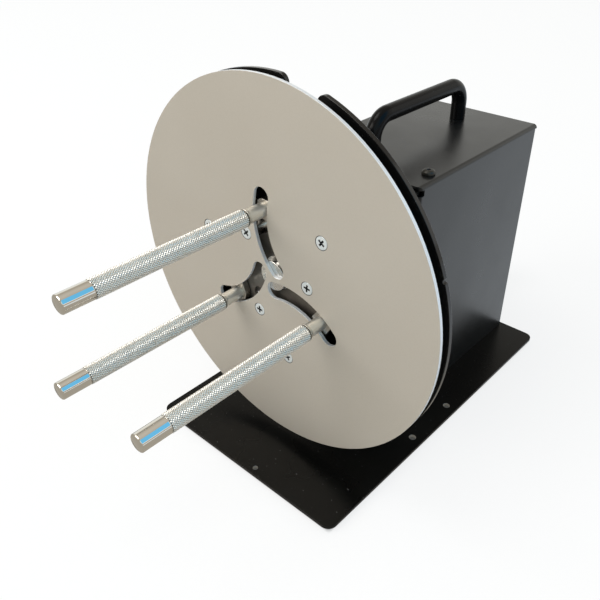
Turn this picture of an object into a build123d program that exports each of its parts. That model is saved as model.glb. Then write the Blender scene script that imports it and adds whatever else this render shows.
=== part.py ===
"""Manual label rewinder: a crank-driven flange with an adjustable core chuck on a sheet metal stand.

Frame: +Z up, +X to the operator's right, +Y away from the operator, millimetres.
The origin is the centre of the four bench fixing holes, on the underside of the base plate.
The chuck turns about an axis along Y. Its pieces are placed by their depth behind the front
face of the aluminium flange, and seen from the front they turn anticlockwise for +angles.
"""

import os
from math import acos, atan2, cos, degrees, radians, sin, sqrt

from build123d import *

os.makedirs("parts", exist_ok=True)

# ---------------------------------------------------------------- driving dimensions
# base plate
base_width = 150
base_length = 242
base_thickness = 2
base_corner_radius = 6
base_front_overhang = 110  # from the fixing holes' centre to the front edge
base_hole_diameter = 4.5
base_hole_spacing_x = 136
base_hole_spacing_y = 40
front_hole_x = 11
front_hole_inset = 4.5
front_hole_diameter = 3.2
foot_diameter = 16
foot_height = 3
foot_inset = 14

# housing
housing_width = 95
housing_length = 135.5
housing_above_axis = 43.3
housing_rear_inset = 1  # from the base plate's rear edge
cover_thickness = 1.5
cover_bend_radius = 2.5
lip_width = 14
lip_drop = 3.3  # top of the lips below the top of the housing
front_notch_drop = 6
front_notch_length = 4
front_corner_radius = 4
panel_thickness = 2
panel_bend_radius = 2  # along the middle of the sheet
panel_side_clearance = 0.2
front_flange_reach = 30
rear_flange_reach = 16
foot_flange_reach = 22
panel_screw_inset = 13  # from the panel's outer face, in the foot flanges
panel_screw_spacing = 60

# carry handle
handle_bar_diameter = 10
handle_bar_height = 23.3  # middle of the bar above the housing
handle_bend_radius = 12.5
handle_spacing = 94.5
handle_front_inset = 18  # front leg behind the housing's front face
handle_thread_depth = 12
handle_thread_run_out = 2  # thread left past the end of its screw

# screws
m4_diameter = 4
m4_hole_diameter = 4.5
m4_countersunk_head = 8
m4_pan_head = 8
m4_pan_head_height = 2.8
screw_head_rim = 0.9
screw_crown_share = 0.62  # of a head's radius
countersink_angle = 90
m5_diameter = 5
m5_hole_diameter = 5.5
m5_pan_head = 9.5
m5_pan_head_height = 3
screw_clearance = 0.05  # on the radius, in a tapped hole
cover_screw_inset = 8  # from the housing's sides
cover_screw_setback = 19  # behind the housing's front face
rear_screw_low = 30  # above the base plate
rear_screw_high = 138
screw_run_out = 2  # a screw's end past the sheet that it is tapped in

# flange, along the axis
axis_height = 120.7
flange_setback = 74.7  # front face of the flange, ahead of the fixing holes' centre
flange_diameter = 220
flange_thickness = 2
arm_front_gap = 0.8
arm_thickness = 4
arm_rear_gap = 0.7
setting_disc_diameter = 220
setting_disc_thickness = 2.5
friction_washer_thickness = 1
hub_flange_thickness = 4
slide_gap = 0.05  # between faces that slide on each other

# adjustable core chuck
jaw_count = 3
pivot_radius = 51.4
pivot_angle = 42.9
arm_length = 43.4
rest_swing = 47.5  # at the pivot, between the disc centre and the pin
largest_core_diameter = 105
arm_stop_clearance = 0.4
slot_width = 10.5
slot_inner_swing = 1.5
slot_outer_swing = 59.5
pivot_post_diameter = 8
pivot_boss_radius = 8
arm_end_radius = 6
running_clearance = 0.05  # on the radius, where a piece turns
tail_length = 22
tail_radius = 5.5
follower_diameter = 6
cam_clearance = 0.1
cam_run_out = 0.6  # degrees of arm swing left at each end of a cam slot
cam_track_steps = 4
swing_per_turn = 2  # degrees that the arms swing for one degree of the setting disc
hub_screw_radius = 27.8
hub_screw_angle = 8.7
spacer_diameter = 8
spacer_slot_clearance = 0.4
notch_angle = 79.7
notch_width = 19.5
notch_depth = 12
notch_inner_radius = 6
notch_outer_radius = 4.5
index_mark_angle = 19.3
index_mark_radius = 1.2

# core pins
knurl_diameter = 10
knurl_front = 101.5  # in front of the flange
knurl_rear = 9.5
knurl_end_cone = 1.5
tip_diameter = 9.5
tip_front = 117.3
tip_chamfer = 0.5
neck_diameter = 8
rivet_diameter = 6
rivet_clearance = 0.02

# hub, spindle and bearings
spindle_diameter = 14
spindle_chamfer = 1
spindle_head_diameter = 18
spindle_head_thickness = 0.65  # it stands in front of the arms
set_screw_recess = 0.6
journal_diameter = 20
journal_lead = 0.5  # journal ahead of the setting disc
friction_washer_diameter = 42
hub_flange_diameter = 66
hub_body_diameter = 32
hub_screw_length = 15
pivot_screw_length = 7
set_screw_diameter = 5
hub_set_screw_setback = 14  # from the rear end of the hub
bearing_flange_diameter = 42
bearing_flange_thickness = 4
bearing_spigot_diameter = 22
bearing_spigot_length = 12
bearing_screw_radius = 15.6
bearing_screw_length = 8
bearing_screw_count = 3
press_clearance = 0.02  # on the radius, where a piece is pressed or clamped in
thrust_washer_diameter = 24
thrust_washer_thickness = 1.5
axial_play = 0.1
collar_diameter = 28
collar_width = 11

# crank
crank_radius = 65
crank_boss_diameter = 28
crank_boss_width = 14
crank_bar_thickness = 8
crank_bar_setback = 4  # bar behind the boss's front face
crank_bar_wide_radius = 12
crank_bar_narrow_radius = 9.5
crank_edge_chamfer = 0.8
crank_set_screw_diameter = 6
spindle_recess = 1  # spindle end inside the boss
axle_diameter = 8
axle_head_diameter = 13
axle_head_height = 4
grip_length = 62
grip_gap = 0.4
grip_end_radius = 9
grip_end_chamfer = 2  # along the grip
grip_middle_radius = 11
grip_middle_share = 0.5  # of the grip's length at its full width
grip_nose_radius = 7.6
grip_counterbore_depth = 5
grip_head_clearance = 0.5
grip_clearance = 0.1

# ---------------------------------------------------------------- derived places
base_front_y = -base_front_overhang
base_rear_y = base_front_y + base_length
housing_rear_y = base_rear_y - housing_rear_inset
housing_front_y = housing_rear_y - housing_length
housing_top = axis_height + housing_above_axis
housing_height = housing_top - base_thickness
front_panel_y = housing_front_y + cover_thickness
rear_panel_y = housing_rear_y - cover_thickness
panel_top = housing_top - cover_thickness
panel_width = housing_width - 2 * (cover_bend_radius + panel_side_clearance)

flange_face_y = -flange_setback
arm_front = flange_thickness + arm_front_gap
arm_rear = arm_front + arm_thickness
disc_front = arm_rear + arm_rear_gap
disc_rear = disc_front + setting_disc_thickness
hub_face = disc_rear + friction_washer_thickness + slide_gap
hub_flange_rear = hub_face + hub_flange_thickness
front_panel_depth = front_panel_y - flange_face_y
rear_panel_depth = rear_panel_y - flange_face_y
front_bearing_face = front_panel_depth - bearing_flange_thickness
hub_rear = front_bearing_face - thrust_washer_thickness - axial_play
spindle_front = flange_thickness + slide_gap
collar_front = front_panel_depth + bearing_spigot_length + axial_play
rear_bearing_face = rear_panel_depth + bearing_flange_thickness
crank_front = rear_bearing_face + thrust_washer_thickness + axial_play
crank_rear = crank_front + crank_boss_width
crank_bar_front = crank_front + crank_bar_setback
crank_bar_rear = crank_bar_front + crank_bar_thickness
spindle_rear = crank_rear - spindle_recess
grip_front = crank_bar_rear + grip_gap
grip_rear = grip_front + grip_length
axle_head_front = grip_rear - grip_counterbore_depth + grip_gap
spindle_radius = spindle_diameter / 2
bore_radius = spindle_radius + press_clearance

jaw_turns = [360 / jaw_count * number for number in range(jaw_count)]
closest_pin_radius = spindle_radius + arm_end_radius + arm_stop_clearance
widest_pin_radius = largest_core_diameter / 2 - knurl_diameter / 2


def swing_at(pin_radius):
    """Angle at the pivot between the disc centre and a pin at a radius, in degrees."""
    cosine = (pivot_radius**2 + arm_length**2 - pin_radius**2) / (
        2 * pivot_radius * arm_length
    )
    return degrees(acos(cosine))


arm_travel_in = rest_swing - swing_at(closest_pin_radius)
arm_travel_out = swing_at(widest_pin_radius) - rest_swing
print(f"arm swing: -{arm_travel_out:.3f} to +{arm_travel_in:.3f} degrees")
print(f"setting disc: -{arm_travel_out / swing_per_turn:.3f} to +{arm_travel_in / swing_per_turn:.3f}")

# ---------------------------------------------------------------- planes and places
chuck_plane = Plane(origin=(0, flange_face_y, axis_height), x_dir=(1, 0, 0), z_dir=(0, -1, 0))
spindle_axis = Axis((0, flange_face_y, axis_height), (0, 1, 0))
turning_plane = Plane(origin=(0, flange_face_y, axis_height), x_dir=(0, 1, 0), z_dir=(1, 0, 0))
base_top_plane = Plane.XY.offset(base_thickness)
side_plane = Plane.YZ  # sketch x is along Y, sketch y is up


def at_depth(depth):
    """Plane square to the spindle, seen from the front, at a depth behind the flange's face."""
    return chuck_plane.offset(-depth)


def polar(radius, angle):
    """Point of the chuck's plane at a radius and an angle in degrees."""
    return (radius * cos(radians(angle)), radius * sin(radians(angle)))


def arm_point(turn, reach, swing=rest_swing):
    """Point of an arm's centre line at a reach from its pivot, towards its pin."""
    pivot_x, pivot_y = polar(pivot_radius, pivot_angle + turn)
    reach_x, reach_y = polar(reach, pivot_angle + turn + 180 - swing)
    return (pivot_x + reach_x, pivot_y + reach_y)


def cam_point(turn, swing):
    """Where an arm's follower stands on the setting disc, in the disc's rest position."""
    follower_x, follower_y = arm_point(turn, -tail_length, swing)
    disc_angle = (rest_swing - swing) / swing_per_turn
    angle = degrees(atan2(follower_y, follower_x)) - disc_angle
    return polar(sqrt(follower_x**2 + follower_y**2), angle)


def countersunk_screw(length):
    """Countersunk M4 screw: its head's face at the origin, its shank along -Z."""
    head_radius = m4_countersunk_head / 2
    shank_radius = m4_diameter / 2
    with BuildPart() as screw:
        with BuildSketch(Plane.XZ):
            with BuildLine():
                Polyline(
                    (0, 0),
                    (head_radius, 0),
                    (shank_radius, shank_radius - head_radius),
                    (shank_radius, -length),
                    (0, -length),
                    close=True,
                )
            make_face()
        revolve(axis=Axis.Z)
    return screw.part


def domed_screw(head_diameter, head_height, shank_diameter, length):
    """Button head screw: the underside of its head at the origin, its shank along -Z."""
    head_radius = head_diameter / 2
    with BuildPart() as screw:
        with BuildSketch(Plane.XZ):
            with BuildLine():
                Polyline(
                    (0, head_height),
                    (0, -length),
                    (shank_diameter / 2, -length),
                    (shank_diameter / 2, 0),
                    (head_radius, 0),
                    (head_radius, screw_head_rim),
                    (screw_crown_share * head_radius, head_height),
                    close=True,
                )
            make_face()
        revolve(axis=Axis.Z)
    return screw.part


def placed(piece, plane, points):
    """Copies of a piece at points of a plane, as one group."""
    return Compound([piece.moved(plane.location * Location((x, y, 0))) for x, y in points])


# ---------------------------------------------------------------- base plate and feet
foot_points = [
    (side * (base_width / 2 - foot_inset), y)
    for side in (-1, 1)
    for y in (base_front_y + foot_inset, base_rear_y - foot_inset)
]
panel_screw_points = [
    (side * panel_screw_spacing / 2, y)
    for side in (-1, 1)
    for y in (front_panel_y + panel_screw_inset, rear_panel_y - panel_screw_inset)
]

with BuildPart() as base_plate:
    with BuildSketch(Plane.XY):
        with Locations((0, base_front_y + base_length / 2)):
            RectangleRounded(base_width, base_length, base_corner_radius)
        with GridLocations(base_hole_spacing_x, base_hole_spacing_y, 2, 2):
            Circle(base_hole_diameter / 2, mode=Mode.SUBTRACT)
        with Locations((front_hole_x, base_front_y + front_hole_inset)):
            Circle(front_hole_diameter / 2, mode=Mode.SUBTRACT)
        with Locations(*panel_screw_points):
            Circle(m4_hole_diameter / 2, mode=Mode.SUBTRACT)
    extrude(amount=base_thickness)

with BuildPart() as rubber_feet:
    with BuildSketch(Plane.XY.offset(-foot_height)):
        with Locations(*foot_points):
            Circle(foot_diameter / 2)
    extrude(amount=foot_height)

# ---------------------------------------------------------------- housing cover
cover_screw_points = [
    (side * (housing_width / 2 - cover_screw_inset), housing_front_y + cover_screw_setback)
    for side in (-1, 1)
]
handle_points = [
    (0, housing_front_y + handle_front_inset),
    (0, housing_front_y + handle_front_inset + handle_spacing),
]
rear_screw_points = [
    (side * (housing_width / 2 - lip_width / 2), base_thickness + height)
    for side in (-1, 1)
    for height in (rear_screw_low, rear_screw_high)
]
rear_face_plane = Plane(origin=(0, housing_rear_y, 0), x_dir=(-1, 0, 0), z_dir=(0, 1, 0))

side_middle = housing_width / 2 - cover_thickness / 2
top_middle = housing_top - cover_thickness / 2
lip_inner_x = housing_width / 2 - lip_width
lip_middle_x = housing_width / 2 - lip_width / 2
front_middle = housing_front_y + cover_thickness / 2
rear_middle = housing_rear_y - cover_thickness / 2
bend_middle_radius = cover_bend_radius - cover_thickness / 2
lip_top = housing_top - lip_drop

with BuildPart() as housing_cover:
    # the top and the sides are one sheet, bent along both long edges
    with BuildSketch(Plane.XZ.offset(-housing_front_y)):
        with BuildLine():
            FilletPolyline(
                (-side_middle, lip_top),
                (-side_middle, top_middle),
                (side_middle, top_middle),
                (side_middle, lip_top),
                radius=bend_middle_radius,
            )
        trace(line_width=cover_thickness)
    extrude(amount=-housing_length)
    # below the corner notches each side has a lip turned in at its front and its rear
    for side in (-1, 1):
        with BuildSketch(base_top_plane):
            with BuildLine():
                FilletPolyline(
                    (side * lip_inner_x, front_middle),
                    (side * side_middle, front_middle),
                    (side * side_middle, rear_middle),
                    (side * lip_inner_x, rear_middle),
                    radius=bend_middle_radius,
                )
            trace(line_width=cover_thickness)
        extrude(amount=lip_top - base_thickness)
    # notches where three sheets meet, larger at the front
    bend_start_z = housing_top - cover_bend_radius
    front_notch_end_y = housing_front_y + front_notch_length
    for relief_x, relief_width, relief_start_y, relief_end_y, relief_drop in (
        (lip_middle_x, lip_width, housing_front_y, front_notch_end_y, front_notch_drop),
        (side_middle, cover_thickness, housing_rear_y - cover_bend_radius, housing_rear_y, lip_drop),
    ):
        relief_y = (relief_start_y + relief_end_y) / 2
        relief_z = (housing_top - relief_drop + bend_start_z) / 2
        with Locations(*[(side * relief_x, relief_y, relief_z) for side in (-1, 1)]):
            Box(
                relief_width,
                relief_end_y - relief_start_y,
                relief_drop - cover_bend_radius,
                mode=Mode.SUBTRACT,
            )
    # the top sheet's front corners are rounded
    corner_x = housing_width / 2 - front_corner_radius
    corner_y = housing_front_y + front_corner_radius
    with BuildSketch(Plane.XY.offset(housing_top)):
        with Locations(*[(side * housing_width / 2, housing_front_y) for side in (-1, 1)]):
            Rectangle(2 * front_corner_radius, 2 * front_corner_radius)
        with Locations(*[(side * corner_x, corner_y) for side in (-1, 1)]):
            Circle(front_corner_radius, mode=Mode.SUBTRACT)
    extrude(amount=-front_notch_drop, mode=Mode.SUBTRACT)
    with Locations(*[(x, y, housing_top) for x, y in cover_screw_points]):
        Hole(m4_hole_diameter / 2, depth=2 * cover_thickness)
    with Locations(*[(x, y, housing_top) for x, y in handle_points]):
        Hole(m5_hole_diameter / 2, depth=2 * cover_thickness)
    with Locations(rear_face_plane):
        with Locations(*rear_screw_points):
            Hole(m4_hole_diameter / 2, depth=2 * cover_thickness)


# ---------------------------------------------------------------- bearing panels
bearing_screw_points = [
    polar(bearing_screw_radius, 90 + 360 / bearing_screw_count * number)
    for number in range(bearing_screw_count)
]


def bent_panel(outer_y, inward, top_reach):
    """Sheet with flanges turned in at its top and foot; inward is +1 or -1 along Y."""
    middle = panel_thickness / 2
    face = outer_y + inward * middle
    with BuildPart() as panel:
        with BuildSketch(side_plane.offset(-panel_width / 2)):
            with BuildLine():
                FilletPolyline(
                    (outer_y + inward * top_reach, panel_top - middle),
                    (face, panel_top - middle),
                    (face, base_thickness + middle),
                    (outer_y + inward * foot_flange_reach, base_thickness + middle),
                    radius=panel_bend_radius,
                )
            trace(line_width=panel_thickness)
        extrude(amount=panel_width)
        with Locations(*[(x, y, base_thickness) for x, y in panel_screw_points]):
            Cylinder(m4_diameter / 2 + screw_clearance, 4 * panel_thickness, mode=Mode.SUBTRACT)
        with BuildSketch(chuck_plane.offset(-(outer_y - flange_face_y))):
            Circle(bearing_spigot_diameter / 2 + press_clearance)
            with Locations(*bearing_screw_points):
                Circle(m4_diameter / 2 + screw_clearance)
        extrude(amount=2 * panel_thickness, both=True, mode=Mode.SUBTRACT)
    return panel.part


with BuildPart() as front_panel:
    add(bent_panel(front_panel_y, 1, front_flange_reach))
    with Locations(*[(x, y, panel_top) for x, y in cover_screw_points]):
        Hole(m4_diameter / 2 + screw_clearance, depth=2 * panel_thickness)
    with Locations((*handle_points[0], panel_top)):
        Hole(m5_hole_diameter / 2, depth=2 * panel_thickness)

with BuildPart() as rear_panel:
    add(bent_panel(rear_panel_y, -1, rear_flange_reach))
    with Locations(rear_face_plane.offset(-cover_thickness)):
        with Locations(*rear_screw_points):
            Hole(m4_diameter / 2 + screw_clearance, depth=2 * panel_thickness)

# ---------------------------------------------------------------- housing screws
panel_screw = domed_screw(
    m4_pan_head, m4_pan_head_height, m4_diameter, base_thickness + panel_thickness + screw_run_out
)
cover_screw = domed_screw(
    m4_pan_head, m4_pan_head_height, m4_diameter, cover_thickness + panel_thickness + screw_run_out
)
underside_plane = Plane(origin=(0, 0, 0), x_dir=(1, 0, 0), z_dir=(0, 0, -1))

with BuildPart() as base_screws:
    add(placed(panel_screw, underside_plane, [(x, -y) for x, y in panel_screw_points]))

with BuildPart() as cover_screws:
    add(placed(cover_screw, Plane.XY.offset(housing_top), cover_screw_points))
    add(placed(cover_screw, rear_face_plane, rear_screw_points))

# ---------------------------------------------------------------- carry handle
handle_bar_z = housing_top + handle_bar_height
front_leg_y = handle_points[0][1]
rear_leg_y = handle_points[1][1]

with BuildPart() as carry_handle:
    with BuildLine(Plane.XY) as handle_path:
        FilletPolyline(
            (0, front_leg_y, housing_top),
            (0, front_leg_y, handle_bar_z),
            (0, rear_leg_y, handle_bar_z),
            (0, rear_leg_y, housing_top),
            radius=handle_bend_radius,
        )
    with BuildSketch(Plane.XY.offset(housing_top)):
        with Locations(handle_points[0]):
            Circle(handle_bar_diameter / 2)
    sweep(path=handle_path.wire())
    with Locations(*[(x, y, housing_top) for x, y in handle_points]):
        Cylinder(
            m5_diameter / 2 + screw_clearance,
            2 * handle_thread_depth,
            mode=Mode.SUBTRACT,
        )

handle_screw_grip = handle_thread_depth - handle_thread_run_out
front_seat_z = housing_top - cover_thickness - panel_thickness
rear_seat_z = housing_top - cover_thickness

with BuildPart() as handle_screws:
    for (leg_x, leg_y), seat_z in zip(handle_points, (front_seat_z, rear_seat_z)):
        screw = domed_screw(
            m5_pan_head, m5_pan_head_height, m5_diameter, housing_top - seat_z + handle_screw_grip
        )
        seat = Plane(origin=(leg_x, leg_y, seat_z), x_dir=(1, 0, 0), z_dir=(0, 0, -1))
        add(placed(screw, seat, [(0, 0)]))

# ---------------------------------------------------------------- bearings
bearing_bore_radius = spindle_radius + running_clearance


def flanged_bearing(panel_depth, outward):
    """Bronze bush with a screwed flange outside the panel; outward is -1 front, +1 rear."""
    spigot_end = panel_depth - outward * bearing_spigot_length
    flange_end = panel_depth + outward * bearing_flange_thickness
    with BuildPart() as bearing:
        with BuildSketch(turning_plane):
            with BuildLine():
                Polyline(
                    (flange_end, bearing_bore_radius),
                    (flange_end, bearing_flange_diameter / 2),
                    (panel_depth, bearing_flange_diameter / 2),
                    (panel_depth, bearing_spigot_diameter / 2),
                    (spigot_end, bearing_spigot_diameter / 2),
                    (spigot_end, bearing_bore_radius),
                    close=True,
                )
            make_face()
        revolve(axis=spindle_axis)
        with Locations(bearing_screw_plane(flange_end, outward)):
            with Locations(*bearing_screw_points):
                CounterSinkHole(
                    m4_hole_diameter / 2,
                    m4_countersunk_head / 2 + screw_clearance,
                    depth=bearing_flange_thickness,
                    counter_sink_angle=countersink_angle,
                )
    return bearing.part


def bearing_screw_plane(depth, outward):
    """Outer face of a bearing flange, with its normal out of the housing."""
    face_y = flange_face_y + depth
    return Plane(origin=(0, face_y, axis_height), x_dir=(-outward, 0, 0), z_dir=(0, outward, 0))


with BuildPart() as front_bearing:
    add(flanged_bearing(front_panel_depth, -1))

with BuildPart() as rear_bearing:
    add(flanged_bearing(rear_panel_depth, 1))

bearing_screw = countersunk_screw(bearing_screw_length)

with BuildPart() as bearing_screws:
    add(placed(bearing_screw, bearing_screw_plane(front_bearing_face, -1), bearing_screw_points))
    add(placed(bearing_screw, bearing_screw_plane(rear_bearing_face, 1), bearing_screw_points))

# ---------------------------------------------------------------- spindle, hub, collar
with BuildPart() as spindle:
    with BuildSketch(at_depth(spindle_rear)):
        Circle(spindle_radius)
    extrude(amount=spindle_rear - spindle_front)
    chamfer(edges().filter_by(GeomType.CIRCLE).sort_by(Axis.Y)[-1], spindle_chamfer)
    with BuildSketch(at_depth(spindle_front + spindle_head_thickness)):
        Circle(spindle_head_diameter / 2)
    extrude(amount=spindle_head_thickness)

set_screw_plane = Plane(
    origin=(0, flange_face_y + hub_rear - hub_set_screw_setback, axis_height),
    x_dir=(1, 0, 0),
    z_dir=(0, 0, 1),
)

with BuildPart() as hub:
    with BuildSketch(turning_plane):
        with BuildLine():
            Polyline(
                (disc_front - journal_lead, bore_radius),
                (disc_front - journal_lead, journal_diameter / 2),
                (hub_face, journal_diameter / 2),
                (hub_face, hub_flange_diameter / 2),
                (hub_flange_rear, hub_flange_diameter / 2),
                (hub_flange_rear, hub_body_diameter / 2),
                (hub_rear, hub_body_diameter / 2),
                (hub_rear, bore_radius),
                close=True,
            )
        make_face()
    revolve(axis=spindle_axis)
    with BuildSketch(at_depth(hub_flange_rear)):
        with PolarLocations(hub_screw_radius, jaw_count, start_angle=hub_screw_angle):
            Circle(m4_diameter / 2 + screw_clearance)
    extrude(amount=hub_flange_thickness, mode=Mode.SUBTRACT)
    with BuildSketch(set_screw_plane):
        Circle(set_screw_diameter / 2 + screw_clearance)
    extrude(amount=hub_body_diameter, mode=Mode.SUBTRACT)

with BuildPart() as hub_set_screw:
    with BuildSketch(set_screw_plane.offset(bore_radius)):
        Circle(set_screw_diameter / 2)
    extrude(amount=hub_body_diameter / 2 - bore_radius - set_screw_recess)

collar_plane = Plane(
    origin=(0, flange_face_y + collar_front + collar_width / 2, axis_height),
    x_dir=(1, 0, 0),
    z_dir=(0, 0, 1),
)

with BuildPart() as shaft_collar:
    with BuildSketch(at_depth(collar_front + collar_width)):
        Circle(collar_diameter / 2)
        Circle(bore_radius, mode=Mode.SUBTRACT)
    extrude(amount=collar_width)
    with BuildSketch(collar_plane):
        Circle(set_screw_diameter / 2 + screw_clearance)
    extrude(amount=collar_diameter, mode=Mode.SUBTRACT)

with BuildPart() as collar_set_screw:
    with BuildSketch(collar_plane.offset(bore_radius)):
        Circle(set_screw_diameter / 2)
    extrude(amount=collar_diameter / 2 - bore_radius - set_screw_recess)

with BuildPart() as thrust_washers:
    for washer_rear in (hub_rear + thrust_washer_thickness, crank_front):
        with BuildSketch(at_depth(washer_rear)):
            Circle(thrust_washer_diameter / 2)
            Circle(bore_radius, mode=Mode.SUBTRACT)
        extrude(amount=thrust_washer_thickness)

# ---------------------------------------------------------------- flange and its posts
with BuildPart() as front_flange:
    with BuildSketch(at_depth(flange_thickness)):
        Circle(flange_diameter / 2)
        # each pin's slot is an arc about its arm's pivot
        for turn in jaw_turns:
            slot_start = pivot_angle + turn + 180 - slot_outer_swing
            slot_sweep = slot_outer_swing - slot_inner_swing
            with BuildLine():
                CenterArc(arm_point(turn, 0), arm_length, slot_start, slot_sweep)
            trace(line_width=slot_width, mode=Mode.SUBTRACT)
            slot_ends = [
                arm_point(turn, arm_length, swing) for swing in (slot_outer_swing, slot_inner_swing)
            ]
            with Locations(*slot_ends):
                Circle(slot_width / 2, mode=Mode.SUBTRACT)
    extrude(amount=flange_thickness)
    with Locations(chuck_plane):
        with PolarLocations(pivot_radius, jaw_count, start_angle=pivot_angle):
            CounterSinkHole(
                m4_hole_diameter / 2,
                m4_countersunk_head / 2 + screw_clearance,
                depth=flange_thickness,
                counter_sink_angle=countersink_angle,
            )
        with PolarLocations(hub_screw_radius, jaw_count, start_angle=hub_screw_angle):
            CounterSinkHole(
                m4_hole_diameter / 2,
                m4_countersunk_head / 2 + screw_clearance,
                depth=flange_thickness,
                counter_sink_angle=countersink_angle,
            )


def posts(circle_radius, start_angle, diameter, rear):
    """Tubular posts between the flange and a depth behind it."""
    with BuildPart() as group:
        with BuildSketch(at_depth(rear)):
            with PolarLocations(circle_radius, jaw_count, start_angle=start_angle):
                Circle(diameter / 2)
                Circle(m4_diameter / 2 + screw_clearance, mode=Mode.SUBTRACT)
        extrude(amount=rear - flange_thickness)
    return group.part


with BuildPart() as pivot_posts:
    add(posts(pivot_radius, pivot_angle, pivot_post_diameter, disc_front - slide_gap))

with BuildPart() as flange_spacers:
    add(posts(hub_screw_radius, hub_screw_angle, spacer_diameter, hub_face))

pivot_points = [polar(pivot_radius, pivot_angle + turn) for turn in jaw_turns]
hub_screw_points = [polar(hub_screw_radius, hub_screw_angle + turn) for turn in jaw_turns]

with BuildPart() as pivot_screws:
    add(placed(countersunk_screw(pivot_screw_length), chuck_plane, pivot_points))

with BuildPart() as hub_screws:
    add(placed(countersunk_screw(hub_screw_length), chuck_plane, hub_screw_points))

with BuildPart() as friction_washer:
    with BuildSketch(at_depth(hub_face)):
        Circle(friction_washer_diameter / 2)
        Circle(journal_diameter / 2 + running_clearance, mode=Mode.SUBTRACT)
    extrude(amount=friction_washer_thickness)

# ---------------------------------------------------------------- setting disc
disc_turn_in = arm_travel_in / swing_per_turn
disc_turn_out = arm_travel_out / swing_per_turn
rim_radius = setting_disc_diameter / 2


def on_notch_corner(vertex):
    """True where a notch meets the rim."""
    on_rim = abs(sqrt(vertex.X**2 + vertex.Y**2) - rim_radius) < slide_gap
    return on_rim and abs(vertex.Y) > slide_gap


with BuildPart() as setting_disc:
    with BuildSketch(at_depth(disc_rear)):
        Circle(rim_radius)
        with PolarLocations(rim_radius, jaw_count, start_angle=notch_angle):
            RectangleRounded(2 * notch_depth, notch_width, notch_inner_radius, mode=Mode.SUBTRACT)
        fillet(vertices().filter_by(on_notch_corner), notch_outer_radius)
        Circle(journal_diameter / 2 + running_clearance, mode=Mode.SUBTRACT)
        with Locations(polar(rim_radius, index_mark_angle)):
            Circle(index_mark_radius, mode=Mode.SUBTRACT)
        # arc slots let the disc turn past the spacers
        spacer_slot_width = spacer_diameter + 2 * spacer_slot_clearance
        for turn in jaw_turns:
            slot_start = hub_screw_angle + turn - disc_turn_in
            slot_end = hub_screw_angle + turn + disc_turn_out
            with BuildLine():
                CenterArc((0, 0), hub_screw_radius, slot_start, slot_end - slot_start)
            trace(line_width=spacer_slot_width, mode=Mode.SUBTRACT)
            slot_ends = [polar(hub_screw_radius, angle) for angle in (slot_start, slot_end)]
            with Locations(*slot_ends):
                Circle(spacer_slot_width / 2, mode=Mode.SUBTRACT)
    extrude(amount=setting_disc_thickness)
    # each cam slot follows its arm's follower from the largest core to the smallest
    follower_slot_width = follower_diameter + 2 * cam_clearance
    outer_swing = rest_swing + arm_travel_out + cam_run_out
    inner_swing = rest_swing - arm_travel_in - cam_run_out
    swing_step = (inner_swing - outer_swing) / cam_track_steps
    swings = [outer_swing + swing_step * step for step in range(cam_track_steps + 1)]
    with BuildSketch(at_depth(disc_rear)):
        for turn in jaw_turns:
            track = [cam_point(turn, swing) for swing in swings]
            with BuildLine():
                Spline(*track)
            trace(line_width=follower_slot_width)
            with Locations(track[0], track[-1]):
                Circle(follower_slot_width / 2)
    extrude(amount=setting_disc_thickness, mode=Mode.SUBTRACT)

# ---------------------------------------------------------------- arms, pins and followers
rivet_hole_radius = rivet_diameter / 2 + rivet_clearance
swing_arms = []
knurled_pins = []
cam_followers = []

for turn in jaw_turns:
    pivot_point = arm_point(turn, 0)
    pin_point = arm_point(turn, arm_length)
    tail_point = arm_point(turn, -tail_length)

    with BuildPart() as swing_arm:
        with BuildSketch(at_depth(arm_rear)):
            with Locations(pivot_point):
                Circle(pivot_boss_radius)
            with Locations(pin_point):
                Circle(arm_end_radius)
            with Locations(tail_point):
                Circle(tail_radius)
            make_hull()
            with Locations(pivot_point):
                Circle(pivot_post_diameter / 2 + running_clearance, mode=Mode.SUBTRACT)
            with Locations(pin_point, tail_point):
                Circle(rivet_hole_radius, mode=Mode.SUBTRACT)
        extrude(amount=arm_thickness)
    swing_arms.append(swing_arm.part)

    pin_centre = chuck_plane.from_local_coords((*pin_point, 0))
    pin_plane = Plane(origin=pin_centre, x_dir=(0, -1, 0), z_dir=(-1, 0, 0))
    knurl_radius = knurl_diameter / 2
    tip_radius = tip_diameter / 2
    with BuildPart() as knurled_pin:
        with BuildSketch(pin_plane):
            with BuildLine():
                Polyline(
                    (-arm_rear, 0),
                    (-arm_rear, rivet_diameter / 2),
                    (-arm_front, rivet_diameter / 2),
                    (-arm_front, neck_diameter / 2),
                    (knurl_rear, neck_diameter / 2),
                    (knurl_rear + knurl_end_cone, knurl_radius),
                    (knurl_front - tip_chamfer, knurl_radius),
                    (knurl_front, tip_radius),
                    (tip_front - tip_chamfer, tip_radius),
                    (tip_front, tip_radius - tip_chamfer),
                    (tip_front, 0),
                    close=True,
                )
            make_face()
        revolve(axis=Axis(pin_centre, (0, -1, 0)))
    knurled_pins.append(knurled_pin.part)

    with BuildPart() as cam_follower:
        with BuildSketch(at_depth(disc_rear)):
            with Locations(tail_point):
                Circle(follower_diameter / 2)
        extrude(amount=disc_rear - arm_front)
    cam_followers.append(cam_follower.part)

# ---------------------------------------------------------------- crank
crank_set_plane = Plane(
    origin=(0, flange_face_y + crank_bar_front + crank_bar_thickness / 2, axis_height),
    x_dir=(1, 0, 0),
    z_dir=(0, 0, 1),
)

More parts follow.
